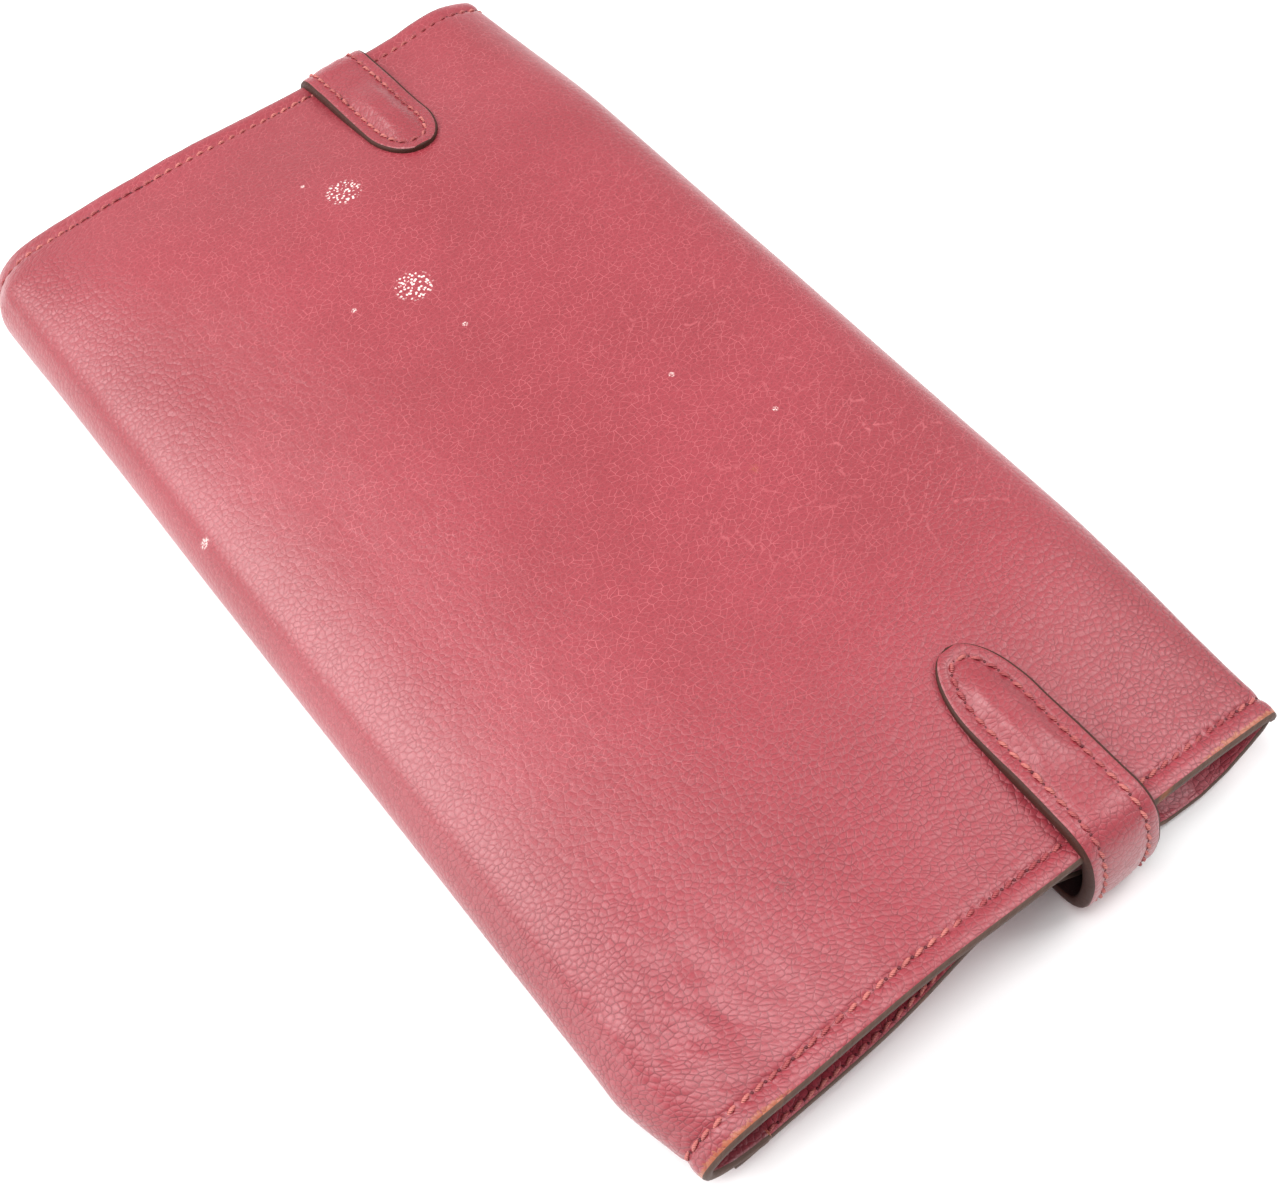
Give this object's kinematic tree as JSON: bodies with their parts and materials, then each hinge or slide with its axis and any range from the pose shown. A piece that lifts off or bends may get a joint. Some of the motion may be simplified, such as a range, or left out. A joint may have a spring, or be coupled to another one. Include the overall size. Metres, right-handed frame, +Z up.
{
  "type": "long wallet",
  "caption": "Long flat wallet of grained leather with folded sides, open short ends, inner flap, zipped coin pocket and a snap strap round each short end.",
  "frame": {"origin": "middle of the underside of the front cover, on the table that the wallet lies on", "axes": "+X from the spine fold to the flap fold, +Y from the near end to the far end, +Z up through the back cover"},
  "size_m": [0.1, 0.2066, 0.0222],
  "materials": {
    "grained_leather": "pebbled goatskin, satin, worn",
    "strap_leather": "fine grain, satin, painted dark edge",
    "strap_lining": "smooth, dark brown",
    "lining_leather": "smooth, matt",
    "pocket_leather": "smooth, matt",
    "thread": "waxed thread",
    "padding": "felt",
    "board": "grey board",
    "zip_tape": "woven tape",
    "zip_metal": "polished",
    "snap_metal": "polished"
  },
  "bodies": {
    "front_cover": {"far_snap_stud": "snap_metal", "front_card_slot_1": "pocket_leather", "front_card_slot_2": "pocket_leather", "front_card_slot_3": "pocket_leather", "front_card_slot_4": "pocket_leather", "front_cover_leather": "grained_leather", "front_edge_stitching": "thread", "front_lining": "lining_leather", "front_padding": "padding", "near_snap_stud": "snap_metal"},
    "back_cover": {"back_cover_leather": "grained_leather", "back_edge_stitching": "thread", "back_lining": "lining_leather", "back_reinforcement": "board", "coin_pocket_panel": "pocket_leather", "coin_pocket_spine_strip": "pocket_leather", "coin_pocket_stitching": "thread", "far_tab_leather": "strap_leather", "far_tab_lining": "strap_lining", "far_tab_padding": "padding", "far_tab_stitching": "thread", "near_tab_leather": "strap_leather", "near_tab_lining": "strap_lining", "near_tab_padding": "padding", "near_tab_stitching": "thread", "zip_end_stops": "zip_metal", "zip_tape_left": "zip_tape", "zip_tape_right": "zip_tape", "zip_teeth_left": "zip_metal", "zip_teeth_right": "zip_metal"},
    "inner_flap": {"inner_flap_card_slot_1": "pocket_leather", "inner_flap_card_slot_2": "pocket_leather", "inner_flap_card_slot_3": "pocket_leather", "inner_flap_leather": "grained_leather", "inner_flap_lining": "lining_leather", "inner_flap_stitching": "thread"},
    "near_strap": {"near_snap_cap": "snap_metal", "near_snap_socket": "snap_metal", "near_strap_leather": "strap_leather", "near_strap_lining": "strap_lining", "near_strap_stitching": "thread"},
    "far_strap": {"far_snap_cap": "snap_metal", "far_snap_socket": "snap_metal", "far_strap_leather": "strap_leather", "far_strap_lining": "strap_lining", "far_strap_stitching": "thread"},
    "zip_slider": {"zip_slider": "zip_metal"},
    "zip_puller": {"zip_puller": "zip_metal"}
  },
  "joints": [
    {"name": "cover_open", "type": "hinge", "parent": "front_cover", "child": "back_cover", "pos_m": [-0.05015, 0, 0.01155], "axis": [0, -1, 0], "range_deg": [0, 179]},
    {"name": "flap_open", "type": "hinge", "parent": "back_cover", "child": "inner_flap", "pos_m": [0.05015, 0, 0.01205], "axis": [0, -1, 0], "range_deg": [0, 179]},
    {"name": "near_strap_swing", "type": "hinge", "parent": "back_cover", "child": "near_strap", "pos_m": [0.019, -0.1012, 0.0196], "axis": [-1, 0, 0], "range_deg": [0, 90], "deforming": ["near_snap_cap", "near_snap_socket", "near_strap_leather", "near_strap_lining", "near_strap_stitching"]},
    {"name": "far_strap_swing", "type": "hinge", "parent": "back_cover", "child": "far_strap", "pos_m": [0.019, 0.1012, 0.0196], "axis": [1, 0, 0], "range_deg": [0, 90], "deforming": ["far_snap_cap", "far_snap_socket", "far_strap_leather", "far_strap_lining", "far_strap_stitching"]},
    {"name": "zip_slide", "type": "slide", "parent": "back_cover", "child": "zip_slider", "axis": [0, -1, 0], "range_m": [0, 0.144]},
    {"name": "puller_swing", "type": "hinge", "parent": "zip_slider", "child": "zip_puller", "pos_m": [-0.018, 0.071, 0.0115], "axis": [1, 0, 0], "range_deg": [0, 15]}
  ],
  "couplings": [
    {"joint": "flap_open", "follows": "cover_open", "ratio": 1}
  ]
}
